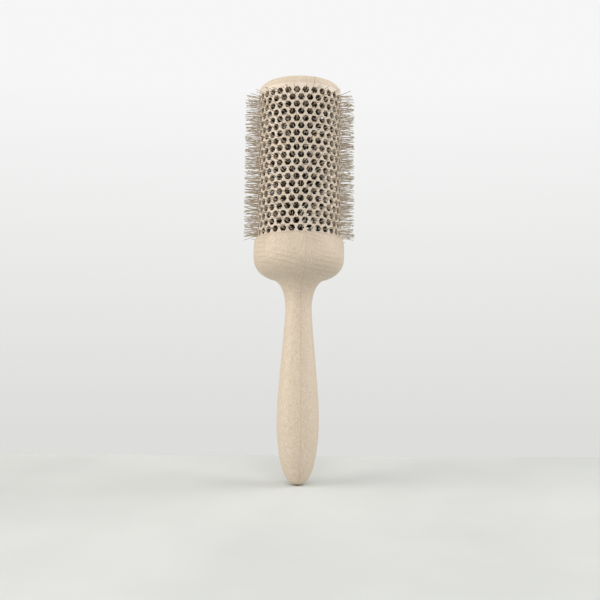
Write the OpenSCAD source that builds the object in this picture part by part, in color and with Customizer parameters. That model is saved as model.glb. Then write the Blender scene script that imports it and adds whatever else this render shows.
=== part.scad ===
// Round thermal styling brush: a vented metal barrel on a one-piece moulded handle.
// Nylon filaments are clamped in a twisted-wire core on the barrel's axis and stand out through its vents.
// Millimetres. +Z runs along the brush, from the end of the handle at z = 0 to the end cap.

/* [Handle] */
// Height of the handle, from its end to the top edge of its collar
handle_len = 154; // [150:1:170]
// Diameter of the grip at its thickest
grip_d = 26.4; // [24:0.2:30]
// Height of the grip's thickest place
grip_z = 40; // [36:1:50]
// Diameter of the neck at its thinnest
neck_d = 16.6; // [14:0.2:18]
// Height of the neck's thinnest place
neck_z = 108; // [100:1:112]
// How far the collar stands out past the barrel
collar_overhang = 2.3; // [1.5:0.1:3.5]

/* [Barrel] */
// Outside diameter of the vented tube
barrel_d = 53; // [48:1:60]
// Wall thickness of the tube
barrel_wall = 0.8; // [0.6:0.1:1]
// Depth of the tube's seat in the collar
seat_depth = 8; // [5:0.5:9]

/* [Vents] */
// Vents round one row, an even number so that each has another opposite
vents_per_row = 30; // [26:2:32]
// Distance from one row to the next
row_pitch = 4.6; // [4.6:0.1:5]
// Width of a hexagonal vent across its flats
vent_flats = 3.9; // [3.6:0.1:4]
// Height of the lowest row's centres above the collar
first_row_gap = 2.5; // [2.4:0.1:4]
// Turn of the whole pattern of vents about the barrel's axis
pattern_turn = 8; // [0:1:12]

/* [End cap] */
// Plain band of tube between the top row's centres and the cap
cap_gap = 4.7; // [4:0.1:6]
// Height of the cap above the tube
cap_h = 5.8; // [5.6:0.1:8]
// Radius of the cap's rounded edge
cap_edge_r = 5.4; // [3:0.1:5.5]

/* [Bristles] */
// Diameter of the circle on which the bristles end
bristle_tip_d = 71; // [64:0.5:76]
// Diameter of one nylon filament
filament_d = 0.27; // [0.2:0.01:0.28]
// Diameter of one strand of the core's wire
wire_d = 1.8; // [1.4:0.1:2.2]

/* [Hidden] */
ROWS = 20;
ROW_NODES = [for (i = [1 : ROWS]) str("bristle_row_", i < 10 ? "0" : "", i)];

MOULDED = "#dccdb8";
CERAMIC = "#e3d8c6";
NYLON = "#d9cdbb";
STEEL = "#a9a8a5";

clearance = 0.1;
// How far a part runs into its neighbour in one moulding, and a cutter past a surface
weld = 0.5;
overcut = 1;
smooth = 96;
curve_steps = 16;

// Radii and heights that the sub-parts share
barrel_r = barrel_d / 2;
bore_r = barrel_r - barrel_wall;
barrel_z = handle_len - seat_depth;
first_row_z = handle_len + first_row_gap;
last_row_z = first_row_z + (ROWS - 1) * row_pitch;
cap_z = last_row_z + cap_gap;
spigot_r = bore_r - clearance;
spigot_chamfer = 0.6;

// Handle's outline: the places that its curves pass through, as [radius, height]
end_flat = [2, 0];
grip = [grip_d / 2, grip_z];
neck = [neck_d / 2, neck_z];
shoulder = [17, handle_len - 25.4];
bulge = [barrel_r + collar_overhang, handle_len - 12];
lip = [barrel_r + clearance, handle_len];

// Handle's outline: how far each curve is drawn out along its tangent at those places
end_pull = [3.5, 0];
grip_pull_down = [0, -28];
grip_pull_up = [0, 16.5];
neck_pull_down = [1.2, -19];
neck_pull_up = [-0.45, 7.5];
shoulder_pull_in = [-6.6, -1.1];
shoulder_pull_out = [7.8, 1.3];
bulge_pull_down = [0, -5.5];
bulge_pull_up = [0, 8.2];
lip_pull = [2.2, 0];

// Handle: the hollow spigot inside the tube, and the boss that holds the wire
spigot_wall = 2.4;
spigot_floor_z = barrel_z - 1;
handle_boss_r = 5;
handle_boss_z = handle_len - 1;
handle_rib_drop = 2;
rib_t = 1.6;
RIBS = 6;

// Wire core: two strands that turn half round in one row, so that the filaments climb as a helix
strand_clearance = 0.05;
strand_r = wire_d / 2;
strand_offset = strand_r + filament_d / 2 + strand_clearance;
socket_r = strand_offset + strand_r + clearance;
socket_depth = 22;
core_z = handle_boss_z - socket_depth;
cap_boss_r = 4.6;
cap_boss_h = 7;
cap_socket_depth = 5;
core_top_z = cap_z - cap_boss_h + cap_socket_depth;
half_turn = 180;
strand_sides = 10;
slice_turn = 30;

// Filaments: one row holds a filament for each pair of opposite vents
filaments_per_row = vents_per_row / 2;
filament_sides = 16;
filament_gap = 0.02;
filament_step = filament_d + filament_gap;
middle_filament = (filaments_per_row - 1) / 2;
vent_turn = 360 / vents_per_row;
vent_sides = 6;
vent_reach = 0.5;

// Cap: its wall, its rim, its spigot and the ribs behind its crown
cap_r = barrel_r - 0.2;
cap_wall = 2;
cap_rim = 3;
cap_edge_step = 15;
cap_spigot_h = 2.2;
cap_rib_drop = 1;

// Points of a smooth curve from a to d, drawn towards b and c on the way; d itself is left to the next curve
function curve(a, b, c, d) = [
    for (i = [0 : curve_steps - 1])
        let (t = i / curve_steps, s = 1 - t)
        a * s * s * s + b * 3 * s * s * t + c * 3 * s * t * t + d * t * t * t
];

// Angle of the filament that lies at the middle of a row; alternate rows are turned by half a vent
function row_angle(row) = pattern_turn + vent_turn * (middle_filament + (row % 2) / 2);
function row_z(row) = first_row_z + row * row_pitch;

// Outline of the handle from its end to the top edge of the collar
function handle_outline() = concat(
    [[0, 0]],
    curve(end_flat, end_flat + end_pull, grip + grip_pull_down, grip),
    curve(grip, grip + grip_pull_up, neck + neck_pull_down, neck),
    curve(neck, neck + neck_pull_up, shoulder + shoulder_pull_in, shoulder),
    curve(shoulder, shoulder + shoulder_pull_out, bulge + bulge_pull_down, bulge),
    curve(bulge, bulge + bulge_pull_up, lip + lip_pull, lip),
    [lip]
);

// Seat for the tube, the spigot inside it and the boss, from the collar's edge to the axis
function seat_outline() = [
    [barrel_r + clearance, barrel_z],
    [spigot_r, barrel_z],
    [spigot_r, handle_len - spigot_chamfer],
    [spigot_r - spigot_chamfer, handle_len],
    [spigot_r - spigot_wall, handle_len],
    [spigot_r - spigot_wall, spigot_floor_z],
    [handle_boss_r, spigot_floor_z],
    [handle_boss_r, handle_boss_z],
    [0, handle_boss_z]
];

// Radial ribs between a central boss and an outer wall
module ribs(inner_r, outer_r, low_z, high_z) {
    for (i = [0 : RIBS - 1])
        rotate(i * 360 / RIBS)
            translate([inner_r, -rib_t / 2, low_z])
                cube([outer_r - inner_r, rib_t, high_z - low_z]);
}

// Grip, neck and bell-shaped collar in one moulding, with a ribbed spigot for the tube and the wire's socket
module handle() {
    color(MOULDED) {
        difference() {
            rotate_extrude($fn = smooth)
                polygon(concat(handle_outline(), seat_outline()));
            translate([0, 0, core_z])
                cylinder(r = socket_r, h = socket_depth + overcut, $fn = smooth);
        }
        ribs(
            handle_boss_r - weld,
            spigot_r - spigot_wall + weld,
            spigot_floor_z - weld,
            handle_boss_z - handle_rib_drop
        );
    }
}

// Cutter for one hexagonal vent, just long enough to pass through the wall
module vent() {
    translate([bore_r - vent_reach, 0, 0])
        rotate([0, 90, 0])
            cylinder(d = vent_flats / cos(30), h = barrel_wall + 2 * vent_reach, $fn = vent_sides);
}

// Plain stretch of the tube between two heights
module tube(low_z, high_z) {
    translate([0, 0, low_z])
        difference() {
            cylinder(r = barrel_r, h = high_z - low_z, $fn = smooth);
            translate([0, 0, -overcut])
                cylinder(r = bore_r, h = high_z - low_z + 2 * overcut, $fn = smooth);
        }
}

// The stretch of the tube that holds one row of vents, at its place
module vented_row(row) {
    difference() {
        tube(row_z(row) - row_pitch / 2, row_z(row) + row_pitch / 2);
        for (i = [0 : vents_per_row - 1])
            translate([0, 0, row_z(row)])
                rotate(row_angle(row) + i * vent_turn)
                    vent();
    }
}

// Thin-walled tube with rows of hexagonal vents, each row turned by half a vent from the last
module barrel() {
    color(CERAMIC) {
        tube(barrel_z, row_z(0) - row_pitch / 2);
        for (row = [0 : ROWS - 1])
            vented_row(row);
        tube(row_z(ROWS - 1) + row_pitch / 2, cap_z);
    }
}

// Cap's shell: a flat crown with a rounded edge, a rim on the tube's end and a short spigot inside it
module cap_shell() {
    crown_z = cap_z + cap_h;
    foot_z = cap_z - cap_spigot_h;
    edge_centre = [cap_r - cap_edge_r, crown_z - cap_edge_r];
    rotate_extrude($fn = smooth)
        polygon(concat(
            [
                [0, cap_z + cap_wall],
                [cap_r - cap_rim, cap_z + cap_wall],
                [spigot_r - cap_wall, foot_z],
                [spigot_r - spigot_chamfer, foot_z],
                [spigot_r, foot_z + spigot_chamfer],
                [spigot_r, cap_z],
                [cap_r, cap_z]
            ],
            [for (a = [0 : cap_edge_step : 90]) edge_centre + cap_edge_r * [cos(a), sin(a)]],
            [[0, crown_z]]
        ));
}

// Boss behind the cap's crown, with a socket for the wire's upper end
module cap_boss() {
    boss_z = cap_z - cap_boss_h;
    difference() {
        translate([0, 0, boss_z])
            cylinder(r = cap_boss_r, h = cap_boss_h + cap_wall + weld, $fn = smooth);
        translate([0, 0, boss_z - overcut])
            cylinder(r = socket_r, h = cap_socket_depth + overcut, $fn = smooth);
    }
}

// Cap that closes the barrel's end and centres the wire core
module end_cap() {
    color(MOULDED) {
        cap_shell();
        cap_boss();
        ribs(cap_boss_r - weld, spigot_r - cap_wall, cap_z - cap_rib_drop, cap_z + cap_wall + weld);
    }
}

// One of the core's two wire strands, on the side given as an angle from the filaments
module core_wire(side) {
    length = core_top_z - core_z;
    turn = half_turn * length / row_pitch;
    start = row_angle(0.5) + half_turn * (core_z - first_row_z) / row_pitch;
    color(STEEL)
        translate([0, 0, core_z])
            rotate(start + side)
                linear_extrude(height = length, twist = -turn, slices = ceil(turn / slice_turn))
                    translate([strand_offset, 0])
                        circle(r = strand_r, $fn = strand_sides);
}

module core_wire_a() {
    core_wire(90);
}

module core_wire_b() {
    core_wire(-90);
}

// One row's filaments, stacked as a helix: each is clamped at its middle between the strands, and its ends
// stand out through two opposite vents
module bristle_row(row) {
    color(NYLON)
        for (i = [-middle_filament : middle_filament])
            translate([0, 0, row_z(row) + i * filament_step])
                rotate([0, 90, row_angle(row) + i * vent_turn])
                    cylinder(d = filament_d, h = bristle_tip_d, center = true, $fn = filament_sides);
}

handle();
barrel();
end_cap();
core_wire_a();
core_wire_b();
for (row = [0 : ROWS - 1])
    bristle_row(row);
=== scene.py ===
"""Round thermal styling brush: its finished surfaces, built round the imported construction.

The brush stands on the flat end of its handle, with +Z along its axis and -Y to its front. Each sub-assembly is
a class that reads its sizes from the frame where the frame has them. Lengths are in metres.
"""

import logging
import math
import random
from collections.abc import Callable, Iterable
from dataclasses import dataclass
from enum import Enum
from functools import cache

import bmesh
import bpy
from mathutils import Matrix, Vector


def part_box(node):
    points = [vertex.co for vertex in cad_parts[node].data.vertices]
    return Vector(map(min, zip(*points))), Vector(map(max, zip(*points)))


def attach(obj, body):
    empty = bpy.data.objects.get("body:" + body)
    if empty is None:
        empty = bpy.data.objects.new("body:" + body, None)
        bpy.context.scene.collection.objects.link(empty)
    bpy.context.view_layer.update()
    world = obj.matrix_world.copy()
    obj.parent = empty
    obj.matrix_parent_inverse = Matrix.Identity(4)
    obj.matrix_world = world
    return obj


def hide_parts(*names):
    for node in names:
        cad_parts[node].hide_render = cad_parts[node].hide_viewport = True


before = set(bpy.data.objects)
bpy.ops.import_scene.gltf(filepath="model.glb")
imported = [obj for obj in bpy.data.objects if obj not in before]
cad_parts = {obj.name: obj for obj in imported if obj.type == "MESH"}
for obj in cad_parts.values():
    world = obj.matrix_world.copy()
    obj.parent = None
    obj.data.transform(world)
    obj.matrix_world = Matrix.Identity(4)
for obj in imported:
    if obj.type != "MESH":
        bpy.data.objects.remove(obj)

LOG = logging.getLogger("brush")
MM = 0.001
ROOT = "root"
MIX_COLOURS = {"data_type": "RGBA"}
# A Mapping node of this type stretches a pattern along its own axes and then turns it
LAID = {"vector_type": "TEXTURE"}
# Nearly all of a noise's values lie between these
NOISE_LOW, NOISE_HIGH = 0.3, 0.7
TUBE_WALL = 0.8 * MM
SEAT_CLEARANCE = 0.1 * MM
SOCKET_RADIUS = 2.085 * MM
RIB_THICKNESS = 1.6 * MM
RIB_WELD = 0.5 * MM
RIBS = 6
SAME_POINT = 0.001 * MM
Outline = list[tuple[float, float]]
Colour = tuple[float, float, float, float]
Owner = bpy.types.Material | bpy.types.World
Socket = bpy.types.NodeSocket
Value = Socket | Colour | tuple[float, float, float] | float


class Slot(Enum):
    """The record's material slots."""

    MOULDED = "moulded"
    CERAMIC = "ceramic_coat"
    NYLON = "nylon"
    WIRE = "wire"


@cache
def box(node: str) -> tuple[Vector, Vector]:
    """The lowest and highest corner of a CAD node, read once."""
    low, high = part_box(node)
    return Vector(low), Vector(high)


# ---------------------------------------------------------------- colour and node helpers


def linear(hex_colour: str) -> Colour:
    """Turns an sRGB hex colour into the linear colour that shaders use.

    Args:
        hex_colour: A colour such as "#dccdb8".

    Returns:
        Red, green, blue and an alpha of 1.
    """
    channels = [int(hex_colour[i : i + 2], 16) / 255 for i in (1, 3, 5)]
    red, green, blue = (c / 12.92 if c <= 0.04045 else ((c + 0.055) / 1.055) ** 2.4 for c in channels)
    return red, green, blue, 1.0


def add_node(owner: Owner, kind: str, settings: dict[str, str] | None = None, **sockets: Value) -> bpy.types.Node:
    """Adds one shader node with its settings, its constants and its links.

    Args:
        owner: The material or world whose tree gets the node.
        kind: The node's type name, without "ShaderNode".
        settings: Attributes to set on the node.
        **sockets: Inputs by name, with _ for a space, or by number after one _; a value is a constant or another
            node's output.

    Returns:
        The new node.
    """
    tree = owner.node_tree
    node = tree.nodes.new("ShaderNode" + kind)
    for name, value in (settings or {}).items():
        setattr(node, name, value)
    for name, value in sockets.items():
        socket = node.inputs[int(name[1:]) if name[1:].isdigit() else name.replace("_", " ")]
        if isinstance(value, Socket):
            tree.links.new(value, socket)
        else:
            socket.default_value = value
    return node


def empty_material(name: str) -> tuple[bpy.types.Material, Socket]:
    """Makes a node material with nothing in its tree but the position on the piece.

    Args:
        name: What it is and how its surface was made.

    Returns:
        The material, and the position in the object's own coordinates, in metres.
    """
    material = bpy.data.materials.new(name)
    material.use_nodes = True
    material.node_tree.nodes.clear()
    return material, add_node(material, "TexCoord").outputs["Object"]


def finish_tree(material: bpy.types.Material, **sockets: Value) -> bpy.types.Material:
    """Connects a principled shader to the material's output.

    Args:
        material: The material to finish.
        **sockets: The shader's inputs, as in add_node.

    Returns:
        The same material.
    """
    shader = add_node(material, "BsdfPrincipled", **sockets)
    add_node(material, "OutputMaterial", Surface=shader.outputs[0])
    return material


# ---------------------------------------------------------------- finishes


@dataclass(frozen=True)
class Patches:
    """Soft patches of one colour in another. Low and high say which part of the noise goes from one to the other."""

    first: str
    second: str
    size: float
    detail: float = 4.0
    low: float = 0.35
    high: float = 0.65

    def add_to(self, material: bpy.types.Material, place: Socket) -> tuple[Socket, Socket]:
        """Adds the patches to a material.

        Args:
            material: The material whose tree gets them.
            place: The position that they follow.

        Returns:
            The colour, and the noise that it follows.
        """
        cloud = add_node(material, "TexNoise", Vector=place, Scale=1 / self.size, Detail=self.detail).outputs["Fac"]
        share = add_node(material, "MapRange", Value=cloud, From_Min=self.low, From_Max=self.high).outputs[0]
        ends = {"_6": linear(self.first), "_7": linear(self.second)}
        return add_node(material, "Mix", MIX_COLOURS, Factor=share, **ends).outputs[2], cloud


@dataclass(frozen=True)
class Relief:
    """A finely uneven skin: how wide, how deep and how marked its bumps are."""

    size: float
    depth: float
    strength: float

    def normal(self, material: bpy.types.Material, place: Socket) -> Socket:
        """Gives the surface's direction with the bumps in it."""
        height = add_node(material, "TexNoise", Vector=place, Scale=1 / self.size, Detail=2.0).outputs["Fac"]
        return add_node(material, "Bump", Height=height, Strength=self.strength, Distance=self.depth).outputs[0]


@dataclass(frozen=True)
class FibreFilledPlastic:
    """Injection-moulded polypropylene filled with milled straw.

    The straw gives a warm, slightly mottled cream with short fibres at all angles. The melt folds as it spreads
    into the collar, which leaves darker flow lines there. A faint line runs where the mould's halves met. The
    skin is matte with a soft sheen.
    """

    mottle: Patches = Patches("#d1c1ac", "#dacbb8", size=1.4 * MM)
    grain: Relief = Relief(size=0.35 * MM, depth=0.05 * MM, strength=0.15)
    fibre: str = "#c0ae97"
    flow: str = "#bba990"
    roughness: float = 0.48
    gloss_change: float = 0.05
    ior: float = 1.49
    fibre_width: float = 0.5 * MM
    fibre_stretch: float = 8.0
    fibre_leans: tuple[float, ...] = (8.0, -55.0, 62.0)
    fibre_noise: tuple[float, float] = (0.6, 0.72)
    fibre_strength: float = 0.5
    flow_spacing: float = 2.8 * MM
    flow_group: float = 9.0 * MM
    flow_group_noise: tuple[float, float] = (0.45, 0.6)
    flow_tilt: tuple[float, float] = (6.0, 12.0)
    flow_stretch: float = 1.7
    flow_waviness: float = 9.0
    flow_wave_size: float = 0.32
    flow_crest: float = 0.8
    flow_from: float = 120 * MM
    flow_full: float = 132 * MM
    flow_stop: float = 156 * MM
    flow_strength: float = 0.6
    parting_degrees: float = 8.5
    parting_width: float = 0.45 * MM
    parting_strength: float = 0.5

    def fibres(self, material: bpy.types.Material, place: Socket, lean: float) -> Socket:
        """Short fibres that lean over.

        Args:
            material: The material whose tree gets them.
            place: The position on the piece.
            lean: Their angle from upright, in degrees.

        Returns:
            How much of the fibres' colour shows.
        """
        turn = (math.radians(lean / 2), math.radians(lean), 0.0)
        along = add_node(material, "Mapping", LAID, Vector=place, Rotation=turn, Scale=(1, 1, self.fibre_stretch))
        strands = add_node(
            material, "TexNoise", Vector=along.outputs[0], Scale=1 / self.fibre_width, Detail=0.0
        ).outputs["Fac"]
        low, high = self.fibre_noise
        return add_node(
            material, "MapRange", Value=strands, From_Min=low, From_Max=high, To_Max=self.fibre_strength
        ).outputs[0]

    def flow_lines(self, material: bpy.types.Material, place: Socket) -> Socket:
        """Groups of thin wavy lines on the collar, which fade out towards the neck and stop short of the end cap.

        Args:
            material: The material whose tree gets them.
            place: The position on the piece.

        Returns:
            How much of the lines' colour shows.
        """
        turn = (*(math.radians(angle) for angle in self.flow_tilt), 0.0)
        stretch = (self.flow_stretch, self.flow_stretch, 1.0)
        swept = add_node(material, "Mapping", LAID, Vector=place, Rotation=turn, Scale=stretch).outputs[0]
        # The wave texture has 20 radians to one unit of its scale
        wave = add_node(
            material, "TexWave", {"bands_direction": "Z"}, Vector=swept, Scale=math.tau / 20 / self.flow_spacing,
            Distortion=self.flow_waviness, Detail=1.0, Detail_Scale=self.flow_wave_size,
        ).outputs["Fac"]
        group = add_node(material, "TexNoise", Vector=swept, Scale=1 / self.flow_group, Detail=1.0).outputs["Fac"]
        height = add_node(material, "SeparateXYZ", Vector=place).outputs["Z"]
        share = add_node(material, "MapRange", Value=wave, From_Min=self.flow_crest, To_Max=self.flow_strength)
        low, high = self.flow_group_noise
        masks = (
            {"Value": height, "From_Min": self.flow_from, "From_Max": self.flow_full},
            {"Value": height, "From_Min": self.flow_stop + MM, "From_Max": self.flow_stop},
            {"Value": group, "From_Min": low, "From_Max": high},
        )
        for limits in masks:
            mask = add_node(material, "MapRange", **limits).outputs[0]
            share = add_node(material, "Math", {"operation": "MULTIPLY"}, _0=share.outputs[0], _1=mask)
        return share.outputs[0]

    def parting_line(self, material: bpy.types.Material, place: Socket) -> Socket:
        """The line left by the mould, in a plane through the axis.

        Args:
            material: The material whose tree gets it.
            place: The position on the piece.

        Returns:
            How much of the line's colour shows.
        """
        angle = math.radians(self.parting_degrees)
        facing = (math.cos(angle), math.sin(angle), 0.0)
        across = add_node(material, "VectorMath", {"operation": "DOT_PRODUCT"}, _0=place, _1=facing).outputs["Value"]
        distance = add_node(material, "Math", {"operation": "ABSOLUTE"}, _0=across).outputs[0]
        return add_node(
            material, "MapRange", Value=distance, From_Max=self.parting_width, To_Min=self.parting_strength, To_Max=0.0
        ).outputs[0]

    def build(self) -> bpy.types.Material:
        """Makes the material.

        Returns:
            The moulded plastic.
        """
        material, place = empty_material("straw_filled_polypropylene_moulded")
        colour, cloud = self.mottle.add_to(material, place)
        layers = [(self.fibres(material, place, lean), self.fibre) for lean in self.fibre_leans]
        layers += [(self.flow_lines(material, place), self.flow), (self.parting_line(material, place), self.flow)]
        for share, over in layers:
            colour = add_node(material, "Mix", MIX_COLOURS, Factor=share, _6=colour, _7=linear(over)).outputs[2]
        gloss = add_node(
            material, "MapRange", Value=cloud, From_Min=NOISE_LOW, From_Max=NOISE_HIGH,
            To_Min=self.roughness - self.gloss_change, To_Max=self.roughness + self.gloss_change,
        ).outputs[0]
        normal = self.grain.normal(material, place)
        return finish_tree(material, Base_Color=colour, Roughness=gloss, IOR=self.ior, Normal=normal)


@dataclass(frozen=True)
class CeramicCoat:
    """Sprayed and baked ceramic coating on a perforated aluminium tube.

    It gives a cream satin skin with a slight orange peel, a little warmer where the spray went on thin.
    """

    spray: Patches = Patches("#dbccb9", "#e5d7c6", size=6.0 * MM, high=0.62)
    peel: Relief = Relief(size=0.8 * MM, depth=0.04 * MM, strength=0.2)
    glossiest: float = 0.31
    dullest: float = 0.44
    ior: float = 1.54

    def build(self) -> bpy.types.Material:
        """Makes the material.

        Returns:
            The coating.
        """
        material, place = empty_material("ceramic_coating_sprayed_on_aluminium")
        colour, cloud = self.spray.add_to(material, place)
        gloss = add_node(
            material, "MapRange", Value=cloud, From_Min=NOISE_LOW, From_Max=NOISE_HIGH,
            To_Min=self.glossiest, To_Max=self.dullest,
        ).outputs[0]
        normal = self.peel.normal(material, place)
        return finish_tree(material, Base_Color=colour, Roughness=gloss, IOR=self.ior, Normal=normal)


@dataclass(frozen=True)
class BareAluminium:
    """The tube's uncoated inner wall: rolled aluminium, dulled, with painted shade that makes it nearly black so that
    the vents look dark.
    """

    # Painted shade: near-black streaky colours that stand for the shade inside the tube
    shade_streaks: Patches = Patches("#181411", "#241e19", size=1.2 * MM, detail=2.0, low=NOISE_LOW, high=NOISE_HIGH)
    streak_stretch: float = 10.0
    roughness: float = 0.6
    metallic: float = 0.7

    def build(self) -> bpy.types.Material:
        """Makes the material.

        Returns:
            The bare metal.
        """
        material, place = empty_material("aluminium_rolled_painted_shade")
        along = add_node(material, "Mapping", LAID, Vector=place, Scale=(1, 1, self.streak_stretch)).outputs[0]
        colour, _ = self.shade_streaks.add_to(material, along)
        return finish_tree(material, Base_Color=colour, Roughness=self.roughness, Metallic=self.metallic)


@dataclass(frozen=True)
class DrawnNylon:
    """Drawn nylon filament: a smooth thread of a warm cream, duller in places, with painted shade that darkens it
    towards the core inside the tube.
    """

    wear: Patches = Patches("#a99b87", "#c6b9a6", size=2.5 * MM, detail=1.0)
    # Painted shade: the dark colour that the filaments take inside the tube
    painted_shade: str = "#2c231c"
    fully_shaded_within: float = 23 * MM
    unshaded_from: float = 27 * MM
    shade_strength: float = 0.9
    roughness: float = 0.4
    ior: float = 1.53

    def build(self) -> bpy.types.Material:
        """Makes the material.

        Returns:
            The nylon.
        """
        material, place = empty_material("nylon_filament_drawn")
        colour, _ = self.wear.add_to(material, place)
        flat = add_node(material, "VectorMath", {"operation": "MULTIPLY"}, _0=place, _1=(1.0, 1.0, 0.0)).outputs[0]
        radius = add_node(material, "VectorMath", {"operation": "LENGTH"}, _0=flat).outputs["Value"]
        # Painted shade: fully dark within 23 mm of the axis, fading out by 27 mm, just past the tube's wall
        core_shade = add_node(
            material, "MapRange", Value=radius, From_Min=self.fully_shaded_within, From_Max=self.unshaded_from,
            To_Min=self.shade_strength, To_Max=0.0,
        ).outputs[0]
        colour = add_node(material, "Mix", MIX_COLOURS, Factor=core_shade, _6=colour, _7=linear(self.painted_shade)).outputs[2]
        return finish_tree(material, Base_Color=colour, Roughness=self.roughness, IOR=self.ior)


@dataclass(frozen=True)
class PlatedWire:
    """Zinc-plated steel wire, drawn through a die, so its surface is finely scratched."""

    scratches: Patches = Patches("#96938c", "#b4b2ac", size=0.25 * MM, detail=2.0)
    roughness: float = 0.36

    def build(self) -> bpy.types.Material:
        """Makes the material.

        Returns:
            The plated steel.
        """
        material, place = empty_material("steel_wire_zinc_plated")
        colour, _ = self.scratches.add_to(material, place)
        return finish_tree(material, Base_Color=colour, Roughness=self.roughness, Metallic=1.0)


@dataclass(frozen=True)
class PaintedBoard:
    """Flat white paint rolled onto a board, with a faint unevenness and hardly any shine."""

    paint: Patches = Patches("#d0d3d1", "#d8dbd9", size=120 * MM, detail=3.0)
    roughness: float = 0.95
    gloss_level: float = 0.15

    def build(self) -> bpy.types.Material:
        """Makes the material.

        Returns:
            The paint.
        """
        material, place = empty_material("white_paint_rolled_on_board")
        colour, _ = self.paint.add_to(material, place)
        return finish_tree(
            material, Base_Color=colour, Roughness=self.roughness, Specular_IOR_Level=self.gloss_level
        )


# ---------------------------------------------------------------- mesh helpers


def curve(a: Vector, b: Vector, c: Vector, d: Vector, steps: int) -> Outline:
    """Points of a smooth curve from a to d, drawn towards b and c on the way.

    Args:
        a: The first point.
        b: The point that the start is drawn towards.
        c: The point that the end is drawn towards.
        d: The last point, which is left to the next curve.
        steps: How many points to give.

    Returns:
        The points as (radius, height).
    """
    points = []
    for i in range(steps):
        t = i / steps
        s = 1 - t
        point = a * s**3 + b * 3 * s * s * t + c * 3 * s * t * t + d * t**3
        points.append((point.x, point.y))
    return points


def revolve(bm: bmesh.types.BMesh, outline: Outline, steps: int) -> None:
    """Spins an outline of (radius, height) points about Z into a closed skin.

    Args:
        bm: The mesh to add to.
        outline: The points, from the axis or from any point of a closed loop.
        steps: Segments round the axis.
    """
    verts = [bm.verts.new((radius, 0.0, height)) for radius, height in outline]
    edges = [bm.edges.new(pair) for pair in zip(verts, verts[1:])]
    on_axis = outline[0][0] == 0 and outline[-1][0] == 0
    if not on_axis:
        edges.append(bm.edges.new((verts[-1], verts[0])))
    bmesh.ops.spin(
        bm, geom=verts + edges, cent=(0, 0, 0), axis=(0, 0, 1), dvec=(0, 0, 0),
        angle=math.tau, steps=steps, use_merge=True, use_duplicate=False,
    )
    bmesh.ops.remove_doubles(bm, verts=bm.verts, dist=SAME_POINT)
    bmesh.ops.dissolve_degenerate(bm, edges=bm.edges, dist=SAME_POINT / 2)


def add_ribs(bm: bmesh.types.BMesh, inner: float, outer: float, low: float, high: float) -> None:
    """Adds flat ribs round Z that run outwards from a boss, sunk a little into what they join.

    Args:
        bm: The mesh to add to.
        inner: The boss's radius.
        outer: The radius at which the ribs end.
        low: The height of their lower edge.
        high: The height of their upper edge.
    """
    inner -= RIB_WELD
    size = Vector((outer - inner, RIB_THICKNESS, high - low))
    middle = Vector(((inner + outer) / 2, 0.0, (low + high) / 2))
    for i in range(RIBS):
        turn = Matrix.Rotation(math.tau * i / RIBS, 4, "Z")
        bmesh.ops.create_cube(bm, size=1.0, matrix=turn @ Matrix.Translation(middle) @ Matrix.Diagonal((*size, 1)))


def make_piece(
    name: str,
    bm: bmesh.types.BMesh,
    materials: list[bpy.types.Material],
    stands_for: str,
    sharp_degrees: float = 35.0,
) -> bpy.types.Object:
    """Turns a mesh into a finished piece that stands for one CAD node.

    Args:
        name: The piece's name.
        bm: Its mesh, which is used up.
        materials: Its materials, by face index.
        stands_for: The CAD node that it replaces.
        sharp_degrees: Edges that turn more than this stay crisp.

    Returns:
        The new object.
    """
    mesh = bpy.data.meshes.new(name)
    bm.to_mesh(mesh)
    bm.free()
    mesh.shade_smooth()
    mesh.set_sharp_from_angle(angle=math.radians(sharp_degrees))
    piece = bpy.data.objects.new(name, mesh)
    bpy.context.scene.collection.objects.link(piece)
    for material in materials:
        mesh.materials.append(material)
    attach(piece, ROOT)
    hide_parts(stands_for)
    LOG.info("%s: %d faces, replaces %s", name, len(mesh.polygons), stands_for)
    return piece


# ---------------------------------------------------------------- sub-assemblies


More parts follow.
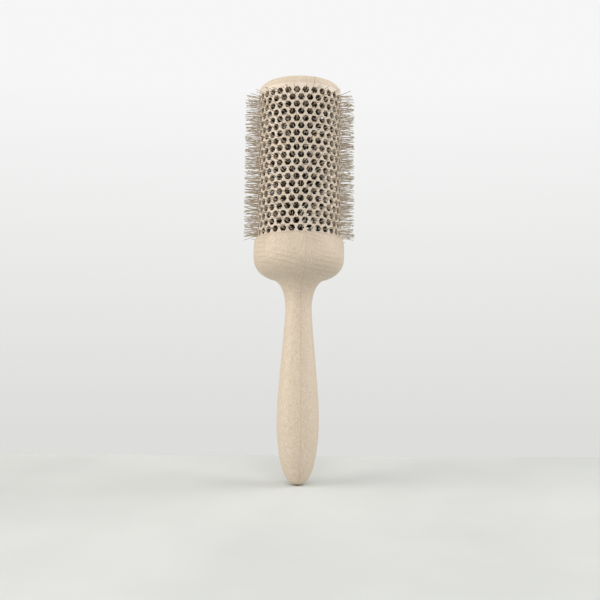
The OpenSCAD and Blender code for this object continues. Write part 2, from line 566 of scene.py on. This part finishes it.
@dataclass
class Handle:
    """Grip, neck and bell-shaped collar in one moulding, with the spigot and the wire's socket inside the tube.

    Its outline is a chain of smooth curves. Each place on it is a radius and a height, and each pull says how far
    a curve is drawn out along its tangent there.
    """

    material: bpy.types.Material
    end_flat: Vector = Vector((2.0, 0.0)) * MM
    grip: Vector = Vector((13.2, 40.0)) * MM
    neck: Vector = Vector((8.3, 108.0)) * MM
    shoulder: Vector = Vector((17.1, 128.2)) * MM
    end_pull: Vector = Vector((5.65, 0.0)) * MM
    grip_pull_down: Vector = Vector((0.0, -25.6)) * MM
    grip_pull_up: Vector = Vector((0.0, 16.5)) * MM
    neck_pull_down: Vector = Vector((1.1, -21.1)) * MM
    neck_pull_up: Vector = Vector((-0.18, 3.4)) * MM
    shoulder_pull_in: Vector = Vector((-8.5, -2.33)) * MM
    shoulder_pull_out: Vector = Vector((10.4, 2.85)) * MM
    bulge_pull_down: Vector = Vector((0.0, -3.7)) * MM
    bulge_pull_up: Vector = Vector((0.0, 8.2)) * MM
    lip_pull: Vector = Vector((2.2, 0.0)) * MM
    bulge_drop: float = 12.0 * MM
    seat_depth: float = 8.0 * MM
    floor_drop: float = 1.0 * MM
    spigot_wall: float = 2.4 * MM
    spigot_chamfer: float = 0.6 * MM
    boss_radius: float = 5.0 * MM
    boss_drop: float = 1.0 * MM
    socket_depth: float = 22.0 * MM
    rib_drop: float = 3.0 * MM
    curve_steps: int = 22
    segments: int = 128

    @property
    def top(self) -> float:
        """The height of the collar's top edge."""
        return box("handle")[1].z

    @property
    def spigot_radius(self) -> float:
        """The outside radius of the spigot inside the tube."""
        return box("barrel")[1].x - TUBE_WALL - SEAT_CLEARANCE

    def outside(self) -> Outline:
        """The outside.

        Returns:
            Its outline from the end of the grip to the collar's edge.
        """
        lip = Vector((box("barrel")[1].x + SEAT_CLEARANCE, self.top))
        bulge = Vector((box("handle")[1].x, self.top - self.bulge_drop))
        flat, grip, neck, shoulder = self.end_flat, self.grip, self.neck, self.shoulder
        steps = self.curve_steps
        return [
            (0.0, 0.0),
            *curve(flat, flat + self.end_pull, grip + self.grip_pull_down, grip, steps),
            *curve(grip, grip + self.grip_pull_up, neck + self.neck_pull_down, neck, steps),
            *curve(neck, neck + self.neck_pull_up, shoulder + self.shoulder_pull_in, shoulder, steps),
            *curve(shoulder, shoulder + self.shoulder_pull_out, bulge + self.bulge_pull_down, bulge, steps),
            *curve(bulge, bulge + self.bulge_pull_up, lip + self.lip_pull, lip, steps),
            (lip.x, lip.y),
        ]

    def inside(self) -> Outline:
        """The tube's seat, the spigot, the boss and the wire's socket.

        Returns:
            Their outline from the collar's edge down to the axis.
        """
        top, spigot = self.top, self.spigot_radius
        seat = top - self.seat_depth
        floor = seat - self.floor_drop
        boss_top = top - self.boss_drop
        return [
            (box("barrel")[1].x + SEAT_CLEARANCE, seat),
            (spigot, seat),
            (spigot, top - self.spigot_chamfer),
            (spigot - self.spigot_chamfer, top),
            (spigot - self.spigot_wall, top),
            (spigot - self.spigot_wall, floor),
            (self.boss_radius, floor),
            (self.boss_radius, boss_top),
            (SOCKET_RADIUS, boss_top),
            (SOCKET_RADIUS, boss_top - self.socket_depth),
            (0.0, boss_top - self.socket_depth),
        ]

    def build(self) -> bpy.types.Object:
        """Spins the outline and adds the ribs between the boss and the spigot's wall.

        Returns:
            The handle.
        """
        bm = bmesh.new()
        revolve(bm, self.outside() + self.inside(), self.segments)
        low = self.top - self.seat_depth - self.floor_drop - RIB_WELD
        wall = self.spigot_radius - self.spigot_wall + RIB_WELD
        add_ribs(bm, self.boss_radius, wall, low, self.top - self.rib_drop)
        bmesh.ops.recalc_face_normals(bm, faces=bm.faces)
        return make_piece("handle_moulding", bm, [self.material], "handle")


@dataclass
class EndCap:
    """Cap with a rounded edge and a flat crown, a spigot in the tube and a ribbed boss for the wire's end."""

    material: bpy.types.Material
    edge_radius: float = 5.4 * MM
    rim_inset: float = 0.2 * MM
    wall: float = 2.0 * MM
    edge_wall: float = 3.0 * MM
    spigot_height: float = 2.2 * MM
    spigot_lead: Vector = Vector((0.4, 0.6)) * MM
    boss_radius: float = 4.6 * MM
    boss_height: float = 7.0 * MM
    socket_depth: float = 5.0 * MM
    rib_reach: float = 1.0 * MM
    edge_steps: int = 12
    segments: int = 128

    def rounded_edge(self, rim: float, crown: float) -> Outline:
        """The quarter circle between the cap's side and its crown.

        Args:
            rim: The cap's outside radius.
            crown: The height of its crown.

        Returns:
            The points from the side up to the crown.
        """
        angles = (math.pi / 2 * i / self.edge_steps for i in range(self.edge_steps + 1))
        return [
            (rim - self.edge_radius * (1 - math.cos(angle)), crown - self.edge_radius * (1 - math.sin(angle)))
            for angle in angles
        ]

    def build(self) -> bpy.types.Object:
        """Spins the cap with its boss and socket as one outline, then adds the ribs behind the crown.

        Returns:
            The end cap.
        """
        crown = box("end_cap")[1].z
        tube, seam = box("barrel")[1].x, box("barrel")[1].z
        rim = tube - self.rim_inset
        spigot = tube - TUBE_WALL - SEAT_CLEARANCE
        spigot_end = seam - self.spigot_height
        inner = seam + self.wall
        foot = seam - self.boss_height
        outline = [
            (0.0, foot + self.socket_depth),
            (SOCKET_RADIUS, foot + self.socket_depth),
            (SOCKET_RADIUS, foot),
            (self.boss_radius, foot),
            (self.boss_radius, inner),
            (rim - self.edge_wall, inner),
            (spigot - self.wall, spigot_end),
            (spigot - self.spigot_lead.x, spigot_end),
            (spigot, spigot_end + self.spigot_lead.y),
            (spigot, seam),
            (rim, seam),
            *self.rounded_edge(rim, crown),
            (0.0, crown),
        ]
        bm = bmesh.new()
        revolve(bm, outline, self.segments)
        add_ribs(bm, self.boss_radius, spigot - self.wall, seam - self.rib_reach, inner + RIB_WELD)
        bmesh.ops.recalc_face_normals(bm, faces=bm.faces)
        return make_piece("end_cap_moulding", bm, [self.material], "end_cap")


@dataclass
class VentGrid:
    """Where the tube's hexagonal vents lie: rows up the tube, each turned by half a vent from the last."""

    rows: int = 20
    per_row: int = 30
    row_pitch: float = 4.6 * MM
    flats: float = 3.9 * MM
    first_row_gap: float = 2.5 * MM
    pattern_turn: float = math.radians(8.0)

    @property
    def turn(self) -> float:
        """The angle from one vent to the next in a row."""
        return math.tau / self.per_row

    @property
    def corner_radius(self) -> float:
        """A vent's size from its centre to a sharp corner."""
        return self.flats / 2 / math.cos(math.pi / 6)

    def height(self, row: int) -> float:
        """The height of a row's centres."""
        return box("handle")[1].z + self.first_row_gap + row * self.row_pitch

    def angle(self, row: int, column: float = 0.0) -> float:
        """The angle of a vent about the axis, from +X."""
        return self.pattern_turn + self.turn * (column + (row % 2) / 2)


@dataclass
class Barrel:
    """Thin tube with rows of hexagonal vents, made flat as a perforated sheet, rolled, and then coated."""

    grid: VentGrid
    coat: bpy.types.Material
    bare: bpy.types.Material
    vent_corner: float = 0.2 * MM
    edge_softening: float = 0.1 * MM
    cell_gap: float = 0.01 * MM
    edge_degrees: float = 45.0

    def cell(self, pitch: float) -> bpy.types.Mesh:
        """One vent in its share of the sheet, flat in XZ with the vent at the origin.

        Args:
            pitch: The distance from one vent to the next in a row.

        Returns:
            The mesh of the metal between the vent and the cell's edge.
        """
        bm = bmesh.new()
        upright = Matrix.Rotation(math.pi / 2, 4, "X") @ Matrix.Rotation(math.pi / 6, 4, "Z")
        hexagon = bmesh.ops.create_circle(bm, segments=6, radius=self.grid.corner_radius, matrix=upright)
        bmesh.ops.bevel(
            bm, geom=hexagon["verts"], offset=self.vent_corner, offset_type="OFFSET", segments=1,
            profile=0.5, affect="VERTICES", material=-1,
        )
        # The cell's corners lie where three vents' shares of the sheet meet
        slant = pitch**2 / (8 * self.grid.row_pitch)
        half, tall, short = pitch / 2, self.grid.row_pitch / 2 + slant, self.grid.row_pitch / 2 - slant
        outline = ((0, tall), (half, short), (half, -short), (0, -tall), (-half, -short), (-half, short))
        corners = [bm.verts.new((x, 0.0, z)) for x, z in outline]
        border = [bm.edges.new((corners[i - 1], corners[i])) for i in range(len(corners))]
        bmesh.ops.subdivide_edges(bm, edges=border, cuts=1)
        bmesh.ops.bridge_loops(bm, edges=list(bm.edges))
        mesh = bpy.data.meshes.new("cell")
        bm.to_mesh(mesh)
        bm.free()
        return mesh

    def sheet(self, pitch: float) -> bmesh.types.BMesh:
        """The whole perforated sheet, flat.

        Args:
            pitch: The distance from one vent to the next in a row.

        Returns:
            The sheet's mesh.
        """
        cell = self.cell(pitch)
        bm = bmesh.new()
        for row in range(self.grid.rows):
            for column in range(self.grid.per_row):
                first = len(bm.verts)
                bm.from_mesh(cell)
                bm.verts.ensure_lookup_table()
                along = self.grid.angle(row, column) / self.grid.turn * pitch
                bmesh.ops.translate(bm, verts=bm.verts[first:], vec=(along, 0.0, self.grid.height(row)))
        bpy.data.meshes.remove(cell)
        return bm

    def roll(self, bm: bmesh.types.BMesh, radius: float, pitch: float) -> None:
        """Rolls the flat sheet round Z and joins its cells and its seam.

        Args:
            bm: The sheet.
            radius: The tube's outside radius.
            pitch: The distance from one vent to the next in a row.
        """
        for vert in bm.verts:
            angle = vert.co.x / pitch * self.grid.turn
            vert.co = (radius * math.cos(angle), radius * math.sin(angle), vert.co.z)
        bmesh.ops.remove_doubles(bm, verts=bm.verts, dist=self.cell_gap)

    def past_vents(self, edge: bmesh.types.BMEdge, row: int) -> bool:
        """Tells the sheet's border beyond an end row from the edges of its vents.

        Args:
            edge: An open edge.
            row: The end row, which is 0 or the last.

        Returns:
            Whether the edge is part of the border.
        """
        middle = (edge.verts[0].co + edge.verts[1].co) / 2
        radius = math.hypot(middle.x, middle.y)
        columns = (math.atan2(middle.y, middle.x) - self.grid.angle(row)) / self.grid.turn
        along = (columns - round(columns)) * self.grid.turn * radius
        rise = middle.z - self.grid.height(row)
        outwards = rise > 0 if row else rise < 0
        return outwards and math.hypot(along, rise) > self.grid.corner_radius

    def add_bands(self, bm: bmesh.types.BMesh, low: float, high: float) -> None:
        """Extends the sheet's open ends to the tube's full height.

        Args:
            bm: The rolled sheet.
            low: The height of the tube's lower end.
            high: The height of its upper end.
        """
        for row, end in ((0, low), (self.grid.rows - 1, high)):
            rim = [edge for edge in bm.edges if edge.is_boundary and self.past_vents(edge, row)]
            made = bmesh.ops.extrude_edge_only(bm, edges=rim)
            for vert in (v for v in made["geom"] if isinstance(v, bmesh.types.BMVert)):
                vert.co.z = end

    def thicken(self, bm: bmesh.types.BMesh, radius: float) -> None:
        """Gives the rolled sheet its wall, softens its outer edges and marks the bare inner side.

        Args:
            bm: The rolled sheet.
            radius: The tube's outside radius.
        """
        bmesh.ops.recalc_face_normals(bm, faces=bm.faces)
        made = bmesh.ops.extrude_face_region(bm, geom=list(bm.faces))
        shrink = (radius - TUBE_WALL) / radius
        for vert in (v for v in made["geom"] if isinstance(v, bmesh.types.BMVert)):
            vert.co.x *= shrink
            vert.co.y *= shrink
        bmesh.ops.recalc_face_normals(bm, faces=bm.faces)
        rims = [
            edge for edge in bm.edges
            if edge.is_manifold
            and edge.calc_face_angle() > math.radians(self.edge_degrees)
            and all(math.hypot(v.co.x, v.co.y) > radius - TUBE_WALL / 2 for v in edge.verts)
        ]
        bmesh.ops.bevel(
            bm, geom=rims, offset=self.edge_softening, offset_type="OFFSET", segments=1,
            profile=0.5, affect="EDGES", material=-1,
        )
        for face in bm.faces:
            centre = face.calc_center_median()
            face.material_index = int(math.hypot(centre.x, centre.y) < radius - 0.8 * TUBE_WALL)

    def build(self) -> bpy.types.Object:
        """Punches, rolls, closes and thickens the tube.

        Returns:
            The tube.
        """
        low, high = box("barrel")
        radius = high.x
        pitch = radius * self.grid.turn
        bm = self.sheet(pitch)
        self.roll(bm, radius, pitch)
        self.add_bands(bm, low.z, high.z)
        self.thicken(bm, radius)
        return make_piece("barrel_tube", bm, [self.coat, self.bare], "barrel")


@dataclass
class WireCore:
    """Two steel strands twisted round each other, half a turn for each row of vents.

    They pass between two filaments of the lowest row at first_gap, a place counted in vents round the tube.
    """

    grid: VentGrid
    material: bpy.types.Material
    strand_radius: float = 0.9 * MM
    offset: float = 1.085 * MM
    first_gap: float = 7.25
    sides: int = 12
    steps_per_turn: int = 20

    def strand(self, node: str, side: float) -> bpy.types.Object:
        """One strand as a round wire on a helix.

        Args:
            node: The CAD node that it stands for.
            side: Its angle from the filaments, in radians.

        Returns:
            The strand.
        """
        low, high = box(node)
        length = high.z - low.z
        turn = math.pi * length / self.grid.row_pitch
        steps = round(turn / math.tau * self.steps_per_turn)
        below_first = (low.z - self.grid.height(0)) / self.grid.row_pitch
        start = self.grid.angle(0, self.first_gap) + math.pi * below_first + side
        place = Matrix.Rotation(start, 4, "Z") @ Matrix.Translation((self.offset, 0.0, low.z))
        bm = bmesh.new()
        bmesh.ops.create_circle(bm, segments=self.sides, radius=self.strand_radius, cap_ends=True, matrix=place)
        bmesh.ops.spin(
            bm, geom=list(bm.faces) + list(bm.edges) + list(bm.verts), cent=(0, 0, 0), axis=(0, 0, 1),
            dvec=(0, 0, length / steps), angle=turn, steps=steps, use_merge=False, use_duplicate=False,
        )
        bmesh.ops.remove_doubles(bm, verts=bm.verts, dist=SAME_POINT)
        bmesh.ops.recalc_face_normals(bm, faces=bm.faces)
        return make_piece(node + "_strand", bm, [self.material], node)

    def build(self) -> None:
        """Makes both strands."""
        self.strand("core_wire_a", math.pi / 2)
        self.strand("core_wire_b", -math.pi / 2)


@dataclass
class Bristles:
    """Nylon filaments that run from the wire out through the vents, a few to each vent.

    They climb round the core as a helix in each row. A real filament is about a quarter of a millimetre thick;
    these are a little thicker, because fewer of them stand for a full tuft. A filament passes its vent within
    vent_room of the middle, leans by about splay beyond it, or by stray_splay if it is a stray, and ends short of
    the longest ones by about shortfall.
    """

    grid: VentGrid
    material: bpy.types.Material
    barrel_radius: float
    tip_radius: float
    root_radius: float = 1.2 * MM
    filament_radius: float = 0.19 * MM
    per_vent: int = 3
    sides: int = 5
    cuts: int = 5
    tip_inset: float = 0.4
    climb: float = 0.29 * MM
    root_scatter: float = 0.4 * MM
    vent_room: float = 1.35 * MM
    splay: float = 1.1 * MM
    splay_limit: float = 1.8
    stray_share: float = 0.12
    stray_splay: float = 2.6 * MM
    shortfall: float = 0.45 * MM
    crimp: float = 0.13 * MM
    crimp_length: float = 9.0 * MM

    def template(self) -> bpy.types.Mesh:
        """A straight filament of unit length and radius along +X with a narrower tip; each one is bent from it.

        Returns:
            Its mesh.
        """
        bm = bmesh.new()
        along = Matrix.Translation((0.5, 0, 0)) @ Matrix.Rotation(math.pi / 2, 4, "Y")
        bmesh.ops.create_cone(
            bm, cap_ends=True, segments=self.sides, radius1=1.0, radius2=1.0, depth=1.0, matrix=along
        )
        lengthwise = [edge for edge in bm.edges if abs(edge.verts[0].co.x - edge.verts[1].co.x) > 0.5]
        bmesh.ops.subdivide_edges(bm, edges=lengthwise, cuts=self.cuts)
        tip = [face for face in bm.faces if all(vert.co.x > 0.99 for vert in face.verts)]
        bmesh.ops.inset_region(bm, faces=tip, thickness=self.tip_inset, depth=0.0, use_even_offset=True)
        mesh = bpy.data.meshes.new("filament")
        bm.to_mesh(mesh)
        bm.free()
        return mesh

    def course(self, rise: float, rng: random.Random) -> Callable[[float], Vector]:
        """Draws one filament's course from the core to its tip.

        Args:
            rise: The height of its root above the row's centres.
            rng: The source of its variation.

        Returns:
            A function from 0 at the root to 1 at the tip that gives the radius, the sideways shift and the height.
        """
        spread = self.stray_splay if rng.random() < self.stray_share else self.splay
        bearing, room = rng.uniform(0, math.tau), self.vent_room * math.sqrt(rng.random())
        reach = self.tip_radius - abs(rng.gauss(0.0, self.shortfall))
        root = Vector((self.root_radius, 0.0, rise + rng.gauss(0.0, 1.0) * self.root_scatter))
        vent = Vector((self.barrel_radius, room * math.cos(bearing), room * math.sin(bearing)))
        limit = self.splay_limit
        lean = [max(-limit, min(limit, rng.gauss(0.0, 1.0))) * spread for _ in range(2)]
        tip = vent + Vector((0.0, *lean))
        tip.x = reach
        share = (self.barrel_radius - self.root_radius) / (reach - self.root_radius)
        phase, sideways = rng.uniform(0, math.tau), rng.uniform(-1.0, 1.0)

        def place(t: float) -> Vector:
            """Gives the place at a share of the length.

            Args:
                t: The share, from 0 at the root to 1 at the tip.

            Returns:
                The radius, the sideways shift and the height.
            """
            at = root.lerp(vent, t / share) if t < share else vent.lerp(tip, (t - share) / (1 - share))
            wave = self.crimp * math.sin(phase + math.tau * at.x / self.crimp_length) * min(1.0, 2 * t)
            return at + Vector((0.0, wave * sideways, wave))

        return place

    def bend(self, verts: Iterable[bmesh.types.BMVert], place: Callable[[float], Vector], seat: Matrix) -> None:
        """Bends a copy of the template along its course.

        Args:
            verts: The copy's vertices.
            place: The course.
            seat: Where the course's own frame lies on the brush.
        """
        for vert in verts:
            at = place(vert.co.x) + Vector((0.0, vert.co.y, vert.co.z)) * self.filament_radius
            beyond = math.hypot(at.x, at.y) / self.tip_radius
            if beyond > 1:
                at.x, at.y = at.x / beyond, at.y / beyond
            vert.co = seat @ at

    def row(self, index: int, template: bpy.types.Mesh) -> bpy.types.Object:
        """All the filaments that come out through one row of vents.

        Args:
            index: The row, from 0 at the bottom.
            template: The straight filament.

        Returns:
            The row's piece.
        """
        rng = random.Random(1000 + index)
        bm = bmesh.new()
        opposite = self.grid.per_row // 2
        for column in range(self.grid.per_row):
            rise = (column % opposite - (opposite - 1) / 2) * self.climb
            seat = Matrix.Translation((0, 0, self.grid.height(index))) @ Matrix.Rotation(
                self.grid.angle(index, column), 4, "Z"
            )
            for _ in range(self.per_vent):
                first = len(bm.verts)
                bm.from_mesh(template)
                bm.verts.ensure_lookup_table()
                self.bend(bm.verts[first:], self.course(rise, rng), seat)
        bmesh.ops.recalc_face_normals(bm, faces=bm.faces)
        node = f"bristle_row_{index + 1:02d}"
        return make_piece(node + "_filaments", bm, [self.material], node, sharp_degrees=60.0)

    def build(self) -> None:
        """Makes every row."""
        template = self.template()
        for index in range(self.grid.rows):
            self.row(index, template)
        bpy.data.meshes.remove(template)


# ---------------------------------------------------------------- studio


@dataclass(frozen=True)
class Lamp:
    """A soft rectangular lamp, with its place and size in metres and its power in watts."""

    name: str
    place: tuple[float, float, float]
    size: tuple[float, float]
    watts: float
    colour: str

    def hang(self, aim: Vector) -> None:
        """Hangs the lamp so that it faces a point.

        Args:
            aim: The point.
        """
        data = bpy.data.lights.new(self.name, "AREA")
        data.shape = "RECTANGLE"
        data.size, data.size_y = self.size
        data.energy = self.watts
        data.color = linear(self.colour)[:3]
        lamp = bpy.data.objects.new(self.name, data)
        lamp.location = self.place
        lamp.rotation_euler = (aim - lamp.location).to_track_quat("-Z", "Y").to_euler()
        bpy.context.scene.collection.objects.link(lamp)


@dataclass
class Studio:
    """Camera, floor, light and pale surroundings.

    The camera's angles are in radians. Its focal length is in pixels of a frame that is 600 pixels wide.
    """

    floor_material: bpy.types.Material
    distance: float = 650 * MM
    camera_height: float = 32.9 * MM
    pitch: float = 0.12557
    yaw: float = -0.00139
    roll: float = 0.00668
    focal_pixels: float = 1036.2
    frame_pixels: float = 600.0
    sensor_width: float = 36.0
    floor_lean: float = math.radians(10.5)
    floor_depth: float = 88 * MM
    floor_reach: float = 650 * MM
    floor_gap: float = 0.1 * MM
    horizon: str = "#dddddb"
    high: str = "#f6f6f6"
    high_sine: float = 0.32
    ambient: float = 0.585
    ambient_colour: str = "#f5f4f2"
    lamp_aim: Vector = Vector((0.0, 0.0, 0.13))
    lamps: tuple[Lamp, ...] = (
        Lamp("left_window", (-1.2, -0.4, 0.64), (0.96, 1.28), 10.3, "#fff8f0"),
        Lamp("right_window", (1.25, -0.1, 0.85), (0.96, 1.28), 9.4, "#fdfaf8"),
        Lamp("top_panel", (0.0, -1.1, 0.95), (0.96, 0.64), 5.4, "#ffffff"),
    )

    def add_camera(self) -> None:
        """Places the camera in front of the brush, looking slightly up along it."""
        level = math.cos(self.pitch)
        forward = Vector((-math.sin(self.yaw) * level, math.cos(self.yaw) * level, math.sin(self.pitch)))
        right = Vector((math.cos(self.yaw), math.sin(self.yaw), 0.0))
        axes = Matrix((right, right.cross(forward), -forward)).transposed().to_4x4()
        data = bpy.data.cameras.new("camera")
        data.sensor_width = self.sensor_width
        data.lens = self.focal_pixels / self.frame_pixels * self.sensor_width
        camera = bpy.data.objects.new("camera", data)
        place = Matrix.Translation((0.0, -self.distance, self.camera_height))
        camera.matrix_world = place @ axes @ Matrix.Rotation(self.roll, 4, "Z")
        bpy.context.scene.collection.objects.link(camera)
        bpy.context.scene.camera = camera

    def add_floor(self) -> None:
        """Lays a pale floor under the handle's end, tilted because the brush leans back on it."""
        bm = bmesh.new()
        bmesh.ops.create_grid(bm, x_segments=1, y_segments=1, size=self.floor_reach)
        for vert in bm.verts:
            vert.co.y = min(vert.co.y, self.floor_depth)
        drop = Handle.end_flat.x * math.sin(self.floor_lean) + self.floor_gap
        lean = Matrix.Rotation(self.floor_lean, 4, "X") @ Matrix.Translation((0, 0, -drop))
        bmesh.ops.transform(bm, verts=bm.verts, matrix=lean)
        mesh = bpy.data.meshes.new("floor")
        bm.to_mesh(mesh)
        bm.free()
        mesh.materials.append(self.floor_material)
        floor = bpy.data.objects.new("floor", mesh)
        bpy.context.scene.collection.objects.link(floor)

    def add_world(self) -> None:
        """Surrounds the brush with soft light, and shows a pale backdrop to the camera, to gloss and through glass."""
        world = bpy.data.worlds.new("studio")
        bpy.context.scene.world = world
        world.use_nodes = True
        world.node_tree.nodes.clear()
        direction = add_node(world, "TexCoord").outputs["Generated"]
        sine = add_node(world, "SeparateXYZ", Vector=direction).outputs["Z"]
        height = add_node(world, "MapRange", Value=sine, From_Max=self.high_sine).outputs[0]
        ends = {"_6": linear(self.horizon), "_7": linear(self.high)}
        pale = add_node(world, "Mix", MIX_COLOURS, Factor=height, **ends).outputs[2]
        light = add_node(world, "Background", Color=linear(self.ambient_colour), Strength=self.ambient)
        backdrop = add_node(world, "Background", Color=pale, Strength=1.0)
        path = add_node(world, "LightPath").outputs
        seen = path["Is Camera Ray"]
        for name in ("Is Glossy Ray", "Is Transmission Ray"):
            seen = add_node(world, "Math", {"operation": "MAXIMUM"}, _0=seen, _1=path[name]).outputs[0]
        mix = add_node(world, "MixShader", _0=seen, _1=light.outputs[0], _2=backdrop.outputs[0])
        add_node(world, "OutputWorld", Surface=mix.outputs[0])

    def build(self) -> None:
        """Sets up everything round the brush."""
        self.add_camera()
        self.add_floor()
        self.add_world()
        for lamp in self.lamps:
            lamp.hang(self.lamp_aim)
        bpy.context.scene.view_settings.view_transform = "Standard"


def main() -> None:
    """Builds the studio, then each sub-assembly."""
    logging.basicConfig(level=logging.INFO, format="%(name)s: %(message)s")
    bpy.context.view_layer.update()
    Studio(PaintedBoard().build()).build()
    moulded = FibreFilledPlastic().build()
    grid = VentGrid()
    Handle(moulded).build()
    EndCap(moulded).build()
    Barrel(grid, CeramicCoat().build(), BareAluminium().build()).build()
    WireCore(grid, PlatedWire().build()).build()
    Bristles(grid, DrawnNylon().build(), box("barrel")[1].x, box("bristle_row_01")[1].x).build()


if __name__ == "__main__":
    main()
